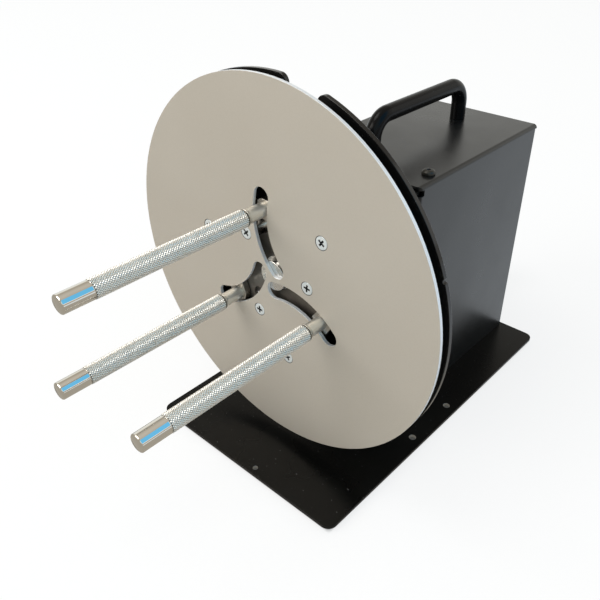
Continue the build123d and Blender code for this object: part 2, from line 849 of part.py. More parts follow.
with BuildPart() as crank_arm:
    with BuildSketch(at_depth(crank_rear)):
        Circle(crank_boss_diameter / 2)
    extrude(amount=crank_boss_width)
    with BuildSketch(at_depth(crank_bar_rear)):
        Circle(crank_bar_wide_radius)
        with Locations((0, -crank_radius)):
            Circle(crank_bar_narrow_radius)
        make_hull()
    extrude(amount=crank_bar_thickness)
    boss_faces = faces().filter_by(Axis.Y).sort_by(Axis.Y)
    chamfer(boss_faces[0].edges() + boss_faces[-1].edges(), crank_edge_chamfer)
    with BuildSketch(at_depth(crank_rear)):
        Circle(bore_radius)
        with Locations((0, -crank_radius)):
            Circle(axle_diameter / 2 + press_clearance)
    extrude(amount=crank_boss_width, mode=Mode.SUBTRACT)
    with BuildSketch(crank_set_plane):
        Circle(crank_set_screw_diameter / 2 + screw_clearance)
    extrude(amount=crank_boss_diameter, mode=Mode.SUBTRACT)

with BuildPart() as crank_set_screw:
    with BuildSketch(crank_set_plane.offset(bore_radius)):
        Circle(crank_set_screw_diameter / 2)
    extrude(amount=crank_boss_diameter / 2 - bore_radius - set_screw_recess)

grip_centre = chuck_plane.from_local_coords((0, -crank_radius, 0))
grip_plane = Plane(origin=grip_centre, x_dir=(0, 1, 0), z_dir=(1, 0, 0))
grip_axis = Axis(grip_centre, (0, 1, 0))
grip_bore_radius = axle_diameter / 2 + grip_clearance
head_recess_radius = axle_head_diameter / 2 + grip_head_clearance
grip_middle = (grip_front + grip_rear) / 2
grip_middle_length = grip_middle_share * grip_length

with BuildPart() as crank_grip:
    with BuildSketch(grip_plane):
        with BuildLine():
            Polyline(
                (grip_front, grip_bore_radius),
                (grip_front, grip_nose_radius),
                (grip_front + grip_end_chamfer, grip_end_radius),
                (grip_middle - grip_middle_length / 2, grip_middle_radius),
                (grip_middle + grip_middle_length / 2, grip_middle_radius),
                (grip_rear - grip_end_chamfer, grip_end_radius),
                (grip_rear, grip_nose_radius),
                (grip_rear, head_recess_radius),
                (grip_rear - grip_counterbore_depth, head_recess_radius),
                (grip_rear - grip_counterbore_depth, grip_bore_radius),
                close=True,
            )
        make_face()
    revolve(axis=grip_axis)

with BuildPart() as grip_axle:
    with BuildSketch(grip_plane):
        with BuildLine():
            Polyline(
                (crank_bar_front, 0),
                (crank_bar_front, axle_diameter / 2),
                (axle_head_front, axle_diameter / 2),
                (axle_head_front, axle_head_diameter / 2),
                (axle_head_front + axle_head_height, axle_head_diameter / 2),
                (axle_head_front + axle_head_height, 0),
                close=True,
            )
        make_face()
    revolve(axis=grip_axis)

# ---------------------------------------------------------------- labels and files
pieces = {
    "base_plate": base_plate.part,
    "rubber_feet": rubber_feet.part,
    "base_screws": base_screws.part,
    "housing_cover": housing_cover.part,
    "front_panel": front_panel.part,
    "rear_panel": rear_panel.part,
    "cover_screws": cover_screws.part,
    "carry_handle": carry_handle.part,
    "handle_screws": handle_screws.part,
    "front_bearing": front_bearing.part,
    "rear_bearing": rear_bearing.part,
    "bearing_screws": bearing_screws.part,
    "spindle": spindle.part,
    "hub": hub.part,
    "hub_set_screw": hub_set_screw.part,
    "shaft_collar": shaft_collar.part,
    "collar_set_screw": collar_set_screw.part,
    "thrust_washers": thrust_washers.part,
    "front_flange": front_flange.part,
    "pivot_posts": pivot_posts.part,
    "flange_spacers": flange_spacers.part,
    "pivot_screws": pivot_screws.part,
    "hub_screws": hub_screws.part,
    "friction_washer": friction_washer.part,
    "setting_disc": setting_disc.part,
    "crank_arm": crank_arm.part,
    "crank_set_screw": crank_set_screw.part,
    "crank_grip": crank_grip.part,
    "grip_axle": grip_axle.part,
}
for number, (arm, pin, follower) in enumerate(zip(swing_arms, knurled_pins, cam_followers), 1):
    pieces[f"swing_arm_{number}"] = arm
    pieces[f"knurled_pin_{number}"] = pin
    pieces[f"cam_follower_{number}"] = follower

for name, piece in pieces.items():
    piece.label = name
    export_step(piece, f"parts/{name}.step")
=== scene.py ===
"""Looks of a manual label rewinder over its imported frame. Metres, +Z up, +Y away from the operator."""

from math import cos, hypot, pi, radians, sin, tau

import bmesh
import bpy
from mathutils import Matrix, Vector


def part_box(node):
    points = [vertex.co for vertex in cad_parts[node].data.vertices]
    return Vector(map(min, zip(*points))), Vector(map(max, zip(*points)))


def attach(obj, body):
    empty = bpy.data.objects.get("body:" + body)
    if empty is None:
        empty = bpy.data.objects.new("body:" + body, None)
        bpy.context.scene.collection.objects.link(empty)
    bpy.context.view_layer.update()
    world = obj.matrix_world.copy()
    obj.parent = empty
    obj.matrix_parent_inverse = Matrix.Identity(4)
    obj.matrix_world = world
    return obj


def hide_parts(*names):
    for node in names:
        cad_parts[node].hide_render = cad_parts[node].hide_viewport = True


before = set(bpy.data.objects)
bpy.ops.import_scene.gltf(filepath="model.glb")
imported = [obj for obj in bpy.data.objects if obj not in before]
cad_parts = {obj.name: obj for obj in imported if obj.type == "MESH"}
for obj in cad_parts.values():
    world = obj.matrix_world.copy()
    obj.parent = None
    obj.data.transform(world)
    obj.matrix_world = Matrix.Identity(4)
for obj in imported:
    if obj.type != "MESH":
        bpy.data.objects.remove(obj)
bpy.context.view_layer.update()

MM = 0.001

# ---------------------------------------------------------------- view of the photograph
IMAGE_SIZE = 600
CAMERA_PLACE = Vector((0.22880, -0.29127, 0.31505))
CAMERA_AZIMUTH = radians(42.40)
CAMERA_ELEVATION = radians(34.20)
CAMERA_ROLL = radians(-0.50)
FOCAL_PIXELS = 668.66
CENTRE_PIXEL_X = 311.84
CENTRE_PIXEL_Y = 305.70
SENSOR_WIDTH = 36.0

# ---------------------------------------------------------------- places and sizes of its pieces
spindle_low, spindle_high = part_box("spindle")
AXIS_HEIGHT = (spindle_low.z + spindle_high.z) / 2
FLANGE_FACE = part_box("front_flange")[0].y
JAWS = 3
PIVOT_RADIUS = 51.4 * MM
PIVOT_ANGLE = radians(42.9)
HUB_SCREW_RADIUS = 27.8 * MM
HUB_SCREW_ANGLE = radians(8.7)
BEARING_SCREW_RADIUS = 15.6 * MM
BEARING_SCREW_ANGLE = radians(90)
BEARING_SCREWS = 3
COVER_SCREW_SETBACK = 19 * MM
COVER_SCREW_INSET = 8 * MM
LIP_SCREW_INSET = 7 * MM
LIP_SCREW_HEIGHTS = (32 * MM, 140 * MM)

M4_RADIUS = 2 * MM
BUTTON_RADIUS = 4 * MM
BUTTON_RIM = 0.9 * MM
BUTTON_HEIGHT = 2.8 * MM

NECK_RADIUS = 4.0 * MM
PIN_REAR = 2.8 * MM
RIVET_RADIUS = 3 * MM
RIVET_REAR = 6.8 * MM
KNURL_RADIUS = 5.0 * MM
KNURL_DEPTH = 0.26 * MM
KNURL_ROOT = KNURL_RADIUS - KNURL_DEPTH
KNURL_FRONT = 101.5 * MM
KNURL_REAR = 9.5 * MM
KNURL_CONE = 1.3 * MM
KNURL_TEETH = 24
KNURL_TOOTH_LENGTH = 1.5 * MM
TIP_RADIUS = 4.75 * MM
TIP_FRONT = 117.3 * MM
PIN_STEPS = 72


# ---------------------------------------------------------------- node helpers
def add_node(tree, kind, **settings):
    """Node of a kind, with its settings."""
    node = tree.nodes.new(kind)
    for name, value in settings.items():
        setattr(node, name, value)
    return node


def feed(tree, socket, value):
    """Another node's output, or a plain number, vector or colour, into a socket."""
    if isinstance(value, bpy.types.NodeSocket):
        tree.links.new(value, socket)
    elif socket.type == "RGBA":
        socket.default_value = (*value, 1)
    else:
        socket.default_value = value


def calculated(tree, operation, *values):
    """Result of a sum, product or other operation on numbers."""
    node = add_node(tree, "ShaderNodeMath", operation=operation)
    for socket, value in zip(node.inputs, values):
        feed(tree, socket, value)
    return node.outputs["Value"]


def vector_result(tree, operation, *values, output="Vector"):
    """Result of an operation on vectors."""
    node = add_node(tree, "ShaderNodeVectorMath", operation=operation)
    for socket, value in zip(node.inputs, values):
        feed(tree, socket, value)
    return node.outputs[output]


def vector_parts(tree, vector):
    """The X, Y and Z outputs of a vector."""
    parts = add_node(tree, "ShaderNodeSeparateXYZ")
    tree.links.new(vector, parts.inputs["Vector"])
    return parts.outputs


def object_place(tree, stretch=(1, 1, 1), centre=(0, 0, 0)):
    """Object coordinates, moved to a centre and stretched."""
    coordinates = add_node(tree, "ShaderNodeTexCoord")
    mapping = add_node(tree, "ShaderNodeMapping")
    mapping.inputs["Location"].default_value = [-c * s for c, s in zip(centre, stretch)]
    mapping.inputs["Scale"].default_value = stretch
    tree.links.new(coordinates.outputs["Object"], mapping.inputs["Vector"])
    return mapping.outputs["Vector"]


def noise(tree, place, scale, detail=4.0, roughness=0.55):
    """Noise at a number of waves per metre."""
    node = add_node(tree, "ShaderNodeTexNoise")
    node.inputs["Scale"].default_value = scale
    node.inputs["Detail"].default_value = detail
    node.inputs["Roughness"].default_value = roughness
    tree.links.new(place, node.inputs["Vector"])
    return node.outputs["Fac"]


def spread(tree, value, low, high, out_low, out_high):
    """Value mapped from one range to another."""
    node = add_node(tree, "ShaderNodeMapRange")
    node.inputs["From Min"].default_value = low
    node.inputs["From Max"].default_value = high
    node.inputs["To Min"].default_value = out_low
    node.inputs["To Max"].default_value = out_high
    tree.links.new(value, node.inputs["Value"])
    return node.outputs["Result"]


def blended(tree, share, first, second):
    """Two colours mixed by a share; each is another node's output or (red, green, blue)."""
    node = add_node(tree, "ShaderNodeMix", data_type="RGBA")
    tree.links.new(share, node.inputs[0])
    feed(tree, node.inputs[6], first)
    feed(tree, node.inputs[7], second)
    return node.outputs[2]


def new_finish(name):
    """Empty material; returns it, its tree and its Principled shader."""
    finish = bpy.data.materials.new(name)
    finish.use_nodes = True
    tree = finish.node_tree
    return finish, tree, tree.nodes["Principled BSDF"]


def surface(tree, shader, colour, roughness, height, depth):
    """Colour, roughness and a bump of a depth in metres, into a shader."""
    tree.links.new(colour, shader.inputs["Base Color"])
    tree.links.new(roughness, shader.inputs["Roughness"])
    bump = add_node(tree, "ShaderNodeBump")
    bump.inputs["Strength"].default_value = 1
    bump.inputs["Distance"].default_value = depth
    tree.links.new(height, bump.inputs["Height"])
    tree.links.new(bump.outputs["Normal"], shader.inputs["Normal"])


# ---------------------------------------------------------------- finishes
def powder_coat(name, dark, light, roughness, grain, refraction):
    """Satin black powder coat: fine orange peel, faint cloudiness, a few dust specks."""
    finish, tree, shader = new_finish(name)
    place = object_place(tree)
    cloud = noise(tree, place, 22, 3)
    peel = noise(tree, place, 900, 2, 0.5)
    grit = noise(tree, place, 2600, 2, 0.6)
    dust = spread(tree, noise(tree, place, 700, 1, 0.4), 0.76, 0.8, 0, 0.5)
    coat = blended(tree, spread(tree, cloud, 0.35, 0.7, 0, 1), dark, light)
    colour = blended(tree, dust, coat, (0.12, 0.12, 0.12))
    varied = spread(tree, cloud, 0.3, 0.7, roughness - 0.04, roughness + 0.05)
    height = calculated(tree, "ADD", peel, spread(tree, grit, 0, 1, 0, 0.35))
    surface(tree, shader, colour, varied, height, 0.02 * MM * grain)
    shader.inputs["IOR"].default_value = refraction
    return finish


def disc_coat_with_painted_sheen():
    """Coat of the setting disc: black, with a painted brown sheen of reflected light out to 41 mm from the
    axis, gone by 44 mm.
    """
    finish = powder_coat(
        "disc_black_coat", (0.002, 0.002, 0.0022), (0.004, 0.004, 0.0042), 0.16, 0.5, 1.45
    )
    tree = finish.node_tree
    base_colour = tree.nodes["Principled BSDF"].inputs["Base Color"]
    coat = base_colour.links[0].from_socket
    from_axis = object_place(tree, (1, 0, 1), (0, 0, AXIS_HEIGHT))
    radius = vector_result(tree, "LENGTH", from_axis, output="Value")
    streaks = noise(tree, object_place(tree), 160, 3)
    # Painted sheen: reflected light in brown, streaked, full out to 41 mm from the axis and gone by 44 mm.
    painted_sheen = blended(tree, streaks, (0.085, 0.073, 0.062), (0.16, 0.142, 0.124))
    painted_sheen_share = spread(tree, radius, 41 * MM, 44 * MM, 1, 0)
    tree.links.new(blended(tree, painted_sheen_share, coat, painted_sheen), base_colour)
    return finish


def satin_aluminium():
    """Face of the flange: warm satin aluminium with a fine even grain and soft clouds."""
    finish, tree, shader = new_finish("satin_aluminium")
    centre = (0, 0, AXIS_HEIGHT)
    place = object_place(tree, centre=centre)
    cloud = noise(tree, place, 9, 2, 0.5)
    grain = noise(tree, object_place(tree, (1, 1, 0.22), centre), 3200, 3, 0.6)
    fleck = noise(tree, place, 1400, 2, 0.5)
    tone = calculated(tree, "MULTIPLY_ADD", grain, 0.35, spread(tree, cloud, 0.3, 0.7, 0.1, 0.6))
    colour = blended(tree, tone, (0.46, 0.42, 0.366), (0.52, 0.482, 0.43))
    surface(tree, shader, colour, spread(tree, fleck, 0.3, 0.7, 0.5, 0.6), grain, 0.006 * MM)
    shader.inputs["Metallic"].default_value = 0.45
    return finish


def machined_aluminium():
    """Bright turned edge of the flange, with fine lines round it."""
    finish, tree, shader = new_finish("machined_aluminium")
    lines = noise(tree, object_place(tree, (1, 30, 1), (0, 0, AXIS_HEIGHT)), 160, 3)
    colour = blended(tree, spread(tree, lines, 0.3, 0.7, 0, 1), (0.74, 0.77, 0.82), (0.88, 0.90, 0.93))
    surface(tree, shader, colour, spread(tree, lines, 0.3, 0.7, 0.40, 0.50), lines, 0.01 * MM)
    shader.inputs["Metallic"].default_value = 0.5
    return finish


def steel(name, dark, light, roughness, wave=(1, 1, 1), depth=0.004 * MM, metallic=1.0):
    """Bare or plated metal: tone and roughness vary a little along the working marks."""
    finish, tree, shader = new_finish(name)
    marks = noise(tree, object_place(tree, wave), 900, 4, 0.6)
    stain = noise(tree, object_place(tree), 120, 3, 0.5)
    tone = calculated(tree, "MULTIPLY_ADD", marks, 0.5, spread(tree, stain, 0.3, 0.7, 0, 0.5))
    varied = spread(tree, stain, 0.3, 0.7, roughness - 0.04, roughness + 0.06)
    surface(tree, shader, blended(tree, tone, dark, light), varied, marks, depth)
    shader.inputs["Metallic"].default_value = metallic
    return finish


def moulded(name, colour, roughness, coat=0.0):
    """Moulded plastic or rubber with a fine sand texture."""
    finish, tree, shader = new_finish(name)
    place = object_place(tree)
    sand = noise(tree, place, 1800, 3, 0.6)
    scuff = noise(tree, place, 60, 4, 0.6)
    light = tuple(channel * 1.7 + 0.004 for channel in colour)
    scuffed = blended(tree, spread(tree, scuff, 0.4, 0.75, 0, 1), colour, light)
    varied = spread(tree, scuff, 0.3, 0.7, roughness - 0.05, roughness + 0.08)
    surface(tree, shader, scuffed, varied, sand, 0.015 * MM)
    shader.inputs["Coat Weight"].default_value = coat
    return finish


FINISHES = {
    "cover_coat": powder_coat(
        "cover_black_coat", (0.004, 0.0044, 0.0048), (0.007, 0.0074, 0.0078), 0.30, 1.0, 1.46
    ),
    "base_coat": powder_coat(
        "base_black_coat", (0.002, 0.002, 0.0018), (0.0033, 0.0033, 0.0029), 0.28, 1.0, 1.27
    ),
    "handle_coat": powder_coat(
        "handle_black_coat", (0.003, 0.003, 0.0033), (0.005, 0.005, 0.0054), 0.24, 0.4, 1.22
    ),
    "disc_coat": disc_coat_with_painted_sheen(),
    "flange_face": satin_aluminium(),
    "flange_edge": machined_aluminium(),
    "arm_steel": steel("ground_arm_steel", (0.33, 0.31, 0.28), (0.55, 0.53, 0.49), 0.28, (1, 1, 0.15)),
    "turned_steel": steel(
        "turned_bright_steel", (0.62, 0.60, 0.57), (0.80, 0.79, 0.77), 0.22, (0.2, 6, 0.2)
    ),
    "knurl_nickel": steel("nickel_on_knurl", (0.78, 0.76, 0.71), (0.90, 0.88, 0.84), 0.34, metallic=0.75),
    # Painted shade: the dark core between the knurl's teeth.
    "knurl_valley_painted_shade": steel("knurl_valley_painted_shade", (0.10, 0.095, 0.085), (0.20, 0.19, 0.17), 0.4),
    "tip_nickel": steel(
        "polished_nickel", (0.70, 0.67, 0.61), (0.78, 0.76, 0.71), 0.07, (4, 1, 4), 0.001 * MM
    ),
    "neck_steel": steel(
        "neck_steel", (0.70, 0.67, 0.60), (0.84, 0.81, 0.75), 0.34, (1, 3, 1), metallic=0.8
    ),
    "bare_steel": steel("bare_hole_wall", (0.22, 0.22, 0.21), (0.34, 0.34, 0.33), 0.45),
    "zinc": steel("zinc_plate", (0.70, 0.76, 0.79), (0.86, 0.91, 0.94), 0.30, metallic=0.6),
    # Painted shade: dark for the countersinks round the flange screws and inside the screw recesses.
    "recess_dark": steel("shaded_recess", (0.05, 0.05, 0.055), (0.10, 0.10, 0.11), 0.5),
    "black_oxide": steel("black_oxide", (0.020, 0.019, 0.017), (0.045, 0.042, 0.036), 0.33, metallic=0.6),
    "bronze": steel("bearing_bronze", (0.42, 0.25, 0.10), (0.62, 0.42, 0.20), 0.35, (1, 8, 1)),
    "fibre": moulded("red_fibre", (0.22, 0.06, 0.035), 0.6),
    "rubber": moulded("foot_rubber", (0.012, 0.012, 0.012), 0.75),
    "grip": moulded("grip_plastic", (0.009, 0.009, 0.0095), 0.30, 0.25),
}


# ---------------------------------------------------------------- piece helpers
def in_scene(thing):
    """An object, put in the scene."""
    bpy.context.scene.collection.objects.link(thing)
    return thing


def soft_shaded(mesh):
    """Mesh shaded smooth except across its real edges."""
    mesh.shade_smooth()
    mesh.set_sharp_from_angle(angle=radians(32))
    return mesh


def mesh_of(shell, name):
    """Soft shaded mesh of a bmesh, which goes."""
    mesh = bpy.data.meshes.new(name)
    shell.to_mesh(mesh)
    shell.free()
    return soft_shaded(mesh)


def new_piece(name, mesh, body, node=None):
    """Mesh as a piece that moves with a body and may take the place of a node."""
    mesh.name = name
    piece = in_scene(bpy.data.objects.new(name, mesh))
    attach(piece, body)
    if node:
        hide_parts(node)
    return piece


def flattened(holder):
    """Plain mesh of a holder object with its modifiers applied; the holder goes."""
    graph = bpy.context.evaluated_depsgraph_get()
    graph.update()
    mesh = bpy.data.meshes.new_from_object(holder.evaluated_get(graph))
    bpy.data.objects.remove(holder)
    return mesh


def cad_copy(node):
    """Copy of a node's mesh, its loose triangles joined and its flat faces made whole."""
    shell = bmesh.new()
    shell.from_mesh(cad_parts[node].data)
    bmesh.ops.remove_doubles(shell, verts=shell.verts, dist=0.002 * MM)
    bmesh.ops.dissolve_limit(
        shell, angle_limit=radians(0.4), verts=shell.verts, edges=shell.edges, use_dissolve_boundaries=False
    )
    mesh = mesh_of(shell, node)
    mesh.materials.clear()
    return mesh


def dressed(node, body, finish, edge):
    """A node's own shape with broken edges, in a finish, in place of the node."""
    mesh = cad_copy(node)
    mesh.materials.append(FINISHES[finish])
    for face in mesh.polygons:
        face.material_index = 0
    holder = in_scene(bpy.data.objects.new(node, mesh))
    if edge:
        bevel = holder.modifiers.new("broken_edges", "BEVEL")
        bevel.width = edge
        bevel.segments = 2
        bevel.limit_method = "ANGLE"
        bevel.angle_limit = radians(40)
    even = holder.modifiers.new("flat_faces_stay_flat", "WEIGHTED_NORMAL")
    even.weight = 100
    even.keep_sharp = True
    return new_piece(node + "_dressed", flattened(holder), body, node)


def around(radius, along, steps):
    """Points on a circle about Y at a place along it, or only its middle for no radius."""
    if not radius:
        return [(0, along, 0)]
    return [(radius * cos(tau * k / steps), along, radius * sin(tau * k / steps)) for k in range(steps)]


def lathe(profile, steps, centre):
    """Turned mesh: (along, radius) points about the +Y axis through a centre, closed at its ends."""
    shell = bmesh.new()
    rings = [
        [shell.verts.new(point) for point in around(radius, along, steps)]
        for along, radius in profile
    ]
    for near, far in zip(rings, rings[1:]):
        for k in range(steps):
            sides = ((near, k), (near, k + 1), (far, k + 1), (far, k))
            corners = [ring[place % len(ring)] for ring, place in sides]
            shell.faces.new(list(dict.fromkeys(corners)))
    bmesh.ops.recalc_face_normals(shell, faces=shell.faces)
    bmesh.ops.translate(shell, vec=centre, verts=shell.verts)
    return mesh_of(shell, "lathe")


# ---------------------------------------------------------------- geometry nodes helpers
def empty_tree(name, inputs):
    """Geometry nodes tree with named inputs; returns it, its inputs and its output node."""
    tree = bpy.data.node_groups.new(name, "GeometryNodeTree")
    for label, kind in (("Geometry", "Geometry"), *inputs):
        tree.interface.new_socket(label, in_out="INPUT", socket_type="NodeSocket" + kind)
    tree.interface.new_socket("Geometry", in_out="OUTPUT", socket_type="NodeSocketGeometry")
    given = add_node(tree, "NodeGroupInput").outputs
    return tree, given, add_node(tree, "NodeGroupOutput")


def copies(tree, thing, points, rotation):
    """A copy of an object on each point, turned and made real."""
    model = add_node(tree, "GeometryNodeObjectInfo")
    place = add_node(tree, "GeometryNodeInstanceOnPoints")
    realize = add_node(tree, "GeometryNodeRealizeInstances")
    tree.links.new(thing, model.inputs["Object"])
    tree.links.new(points, place.inputs["Points"])
    tree.links.new(model.outputs["Geometry"], place.inputs["Instance"])
    tree.links.new(rotation, place.inputs["Rotation"])
    tree.links.new(place.outputs["Instances"], realize.inputs["Geometry"])
    return realize.outputs["Geometry"]


def painted(tree, geometry, finish, selection=None):
    """Geometry, or a selection of its faces, in a finish."""
    paint = add_node(tree, "GeometryNodeSetMaterial")
    tree.links.new(geometry, paint.inputs["Geometry"])
    tree.links.new(finish, paint.inputs["Material"])
    if selection:
        tree.links.new(selection, paint.inputs["Selection"])
    return paint.outputs["Geometry"]


def grown(mesh, tree, values):
    """Plain mesh that a tree makes on a mesh; each input is set by its socket's identifier."""
    holder = in_scene(bpy.data.objects.new("holder", mesh))
    modifier = holder.modifiers.new("set", "NODES")
    modifier.node_group = tree
    for item in tree.interface.items_tree:
        if item.in_out == "INPUT" and item.name in values:
            modifier[item.identifier] = values[item.name]
    return flattened(holder)


# ---------------------------------------------------------------- screws
RECESS_STEPS = 48
FACING_FRONT = (radians(90), 0, 0)
FACING_REAR = (radians(-90), 0, 0)
FACING_UP = (0, 0, 0)
FACING_DOWN = (radians(180), 0, 0)


def recess_outline(reach):
    """Outline of a recess, as (x, y) points, from its reach at an angle."""
    angles = [tau * k / RECESS_STEPS for k in range(RECESS_STEPS)]
    return [(reach(angle) * cos(angle), reach(angle) * sin(angle)) for angle in angles]


def cross_recess(radius):
    """Outline of a cross recess."""
    half_slot = 0.26 * radius

    def reach(angle):
        from_arm = (angle + pi / 4) % (pi / 2) - pi / 4
        return min(radius / cos(from_arm), half_slot / max(abs(sin(from_arm)), 0.01))

    return recess_outline(reach)


def hexagon_recess(radius):
    """Outline of a hexagon socket."""
    return recess_outline(lambda angle: radius * cos(pi / 6) / cos((angle % (pi / 3)) - pi / 6))


def screw_mesh(name, head, length, recess, recess_depth):
    """M4 screw along -Z: head is (radius, height) points from its rim up to its top, outside in."""
    steps = len(recess)
    shell = bmesh.new()
    in_recess = shell.faces.layers.bool.new("in_recess")

    def ring(radius, height):
        return [shell.verts.new((x, z, height)) for x, _, z in around(radius, 0, steps)]

    def outline(scale, height):
        return [shell.verts.new((scale * x, scale * y, height)) for x, y in recess]

    top = head[-1][1]
    tip = shell.verts.new((0, 0, -length))
    rings = [ring(0.8 * M4_RADIUS, -length), ring(M4_RADIUS, 0.2 * M4_RADIUS - length)]
    rings += [ring(radius, height) for radius, height in head]
    rings += [outline(1.0, top), outline(0.94, top - 0.15 * recess_depth), outline(0.8, top - recess_depth)]
    floor = shell.verts.new((0, 0, top - 1.15 * recess_depth))
    for k in range(steps):
        shell.faces.new((tip, rings[0][(k + 1) % steps], rings[0][k]))
    for number, (near, far) in enumerate(zip(rings, rings[1:])):
        for k in range(steps):
            face = shell.faces.new((near[k], near[(k + 1) % steps], far[(k + 1) % steps], far[k]))
            face[in_recess] = number >= len(rings) - 3
    for k in range(steps):
        face = shell.faces.new((rings[-1][k], rings[-1][(k + 1) % steps], floor))
        face[in_recess] = True
    bmesh.ops.recalc_face_normals(shell, faces=shell.faces)
    return mesh_of(shell, name)


def countersunk(length):
    """Countersunk M4 screw with a cross recess."""
    head = [(2.0, -2.0), (3.6, -0.35), (3.72, -0.2), (3.62, -0.06), (3.35, 0)]
    head = [(radius * MM, height * MM) for radius, height in head]
    return screw_mesh("countersunk", head, length, cross_recess(2.2 * MM), 1.5 * MM)


def domed(length):
    """Button head M4 screw with a hexagon socket."""
    radius, crown = BUTTON_RADIUS, BUTTON_HEIGHT - BUTTON_RIM
    head = [(M4_RADIUS, 0), (radius - 0.12 * MM, 0), (radius, 0.15 * MM), (radius, BUTTON_RIM - 0.15 * MM)]
    for turn in (0, 18, 36, 54, 70):
        across = radius * (0.55 + 0.45 * cos(radians(turn)) ** 1.2)
        head.append((across - 0.03 * MM, BUTTON_RIM + crown * sin(radians(turn)) * 0.97))
    head.append((0.5 * radius, BUTTON_HEIGHT))
    return screw_mesh("button_head", head, length, hexagon_recess(0.36 * radius), 1.4 * MM)


def fastener_tree():
    """Geometry nodes: a copy of one fastener on each vertex, turned to face and spun at random."""
    tree, given, result = empty_tree("fasteners_on_points", (
        ("Fastener", "Object"), ("Facing", "Rotation"), ("Spin Spread", "Float"), ("Seed", "Int"),
        ("Metal", "Material"), ("Recess Painted Shade", "Material"),
    ))
    spin = add_node(tree, "FunctionNodeRandomValue", data_type="FLOAT")
    turn = add_node(tree, "ShaderNodeCombineXYZ")
    rotate = add_node(tree, "FunctionNodeRotateRotation", rotation_space="LOCAL")
    in_recess = add_node(tree, "GeometryNodeInputNamedAttribute", data_type="BOOLEAN")
    in_recess.inputs["Name"].default_value = "in_recess"
    link = tree.links.new
    link(given["Spin Spread"], spin.inputs[3])
    link(given["Seed"], spin.inputs["Seed"])
    link(spin.outputs[1], turn.inputs["Z"])
    link(given["Facing"], rotate.inputs["Rotation"])
    link(turn.outputs["Vector"], rotate.inputs["Rotate By"])
    geometry = copies(tree, given["Fastener"], given["Geometry"], rotate.outputs["Rotation"])
    geometry = painted(tree, geometry, given["Metal"])
    # The recess faces are painted dark as shade.
    link(painted(tree, geometry, given["Recess Painted Shade"], in_recess.outputs["Attribute"]),
         result.inputs["Geometry"])
    return tree


FASTENER_TREE = fastener_tree()


def fasteners(name, node, body, screw, metal, points, facing, seed):
    """A set of equal fasteners at points, in place of a node if one is named."""
    cloud = bpy.data.meshes.new("places")
    cloud.from_pydata(points, [], [])
    screw.materials.append(FINISHES[metal])
    model = in_scene(bpy.data.objects.new("model", screw))
    mesh = grown(cloud, FASTENER_TREE, {
        "Fastener": model, "Facing": facing, "Spin Spread": tau, "Seed": seed,
        "Metal": FINISHES[metal], "Recess Painted Shade": FINISHES["recess_dark"],
    })
    bpy.data.objects.remove(model)
    new_piece(name, mesh, body, node)


def on_circle(radius, start, count, y):
    """Points on a circle about the spindle axis."""
    return [
        (radius * cos(start + tau * k / count), y, AXIS_HEIGHT + radius * sin(start + tau * k / count))
        for k in range(count)
    ]


PIVOT_SCREW_PLACES = on_circle(PIVOT_RADIUS, PIVOT_ANGLE, JAWS, FLANGE_FACE)
HUB_SCREW_PLACES = on_circle(HUB_SCREW_RADIUS, HUB_SCREW_ANGLE, JAWS, FLANGE_FACE)


def flange_screws():
    """The six zinc screws in the face of the flange."""
    fasteners("pivot_screw_set", "pivot_screws", "chuck", countersunk(7 * MM), "zinc",
              PIVOT_SCREW_PLACES, FACING_FRONT, 3)
    fasteners("hub_screw_set", "hub_screws", "chuck", countersunk(15 * MM), "zinc",
              HUB_SCREW_PLACES, FACING_FRONT, 8)


def housing_screws():
    """Black screws of the cover; zinc screws under the base plate and in the bearings."""
    low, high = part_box("housing_cover")
    top_places = [
        (side * (high.x - COVER_SCREW_INSET), low.y + COVER_SCREW_SETBACK, high.z)
        for side in (-1, 1)
    ]
    lip_places = [
        (side * (high.x - LIP_SCREW_INSET), high.y, height)
        for side in (-1, 1) for height in LIP_SCREW_HEIGHTS
    ]
    low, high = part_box("base_screws")
    base_places = [
        (side * (high.x - BUTTON_RADIUS), y, low.z + BUTTON_HEIGHT)
        for side in (-1, 1) for y in (low.y + BUTTON_RADIUS, high.y - BUTTON_RADIUS)
    ]
    front_places, rear_places = (
        on_circle(BEARING_SCREW_RADIUS, BEARING_SCREW_ANGLE, BEARING_SCREWS, y)
        for y in (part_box("front_bearing")[0].y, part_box("rear_bearing")[1].y)
    )
    fasteners("cover_top_screws", None, "root", domed(5.4 * MM), "black_oxide", top_places, FACING_UP, 5)
    fasteners("base_screw_set", "base_screws", "root", domed(6 * MM), "zinc", base_places, FACING_DOWN, 14)
    fasteners("front_bearing_screws", None, "root", countersunk(8 * MM), "zinc",
              front_places, FACING_FRONT, 11)
    fasteners("rear_bearing_screws", "bearing_screws", "root", countersunk(8 * MM), "zinc",
              rear_places, FACING_REAR, 12)
    fasteners("cover_rear_screws", "cover_screws", "root", domed(5.4 * MM), "black_oxide",
              lip_places, FACING_REAR, 6)


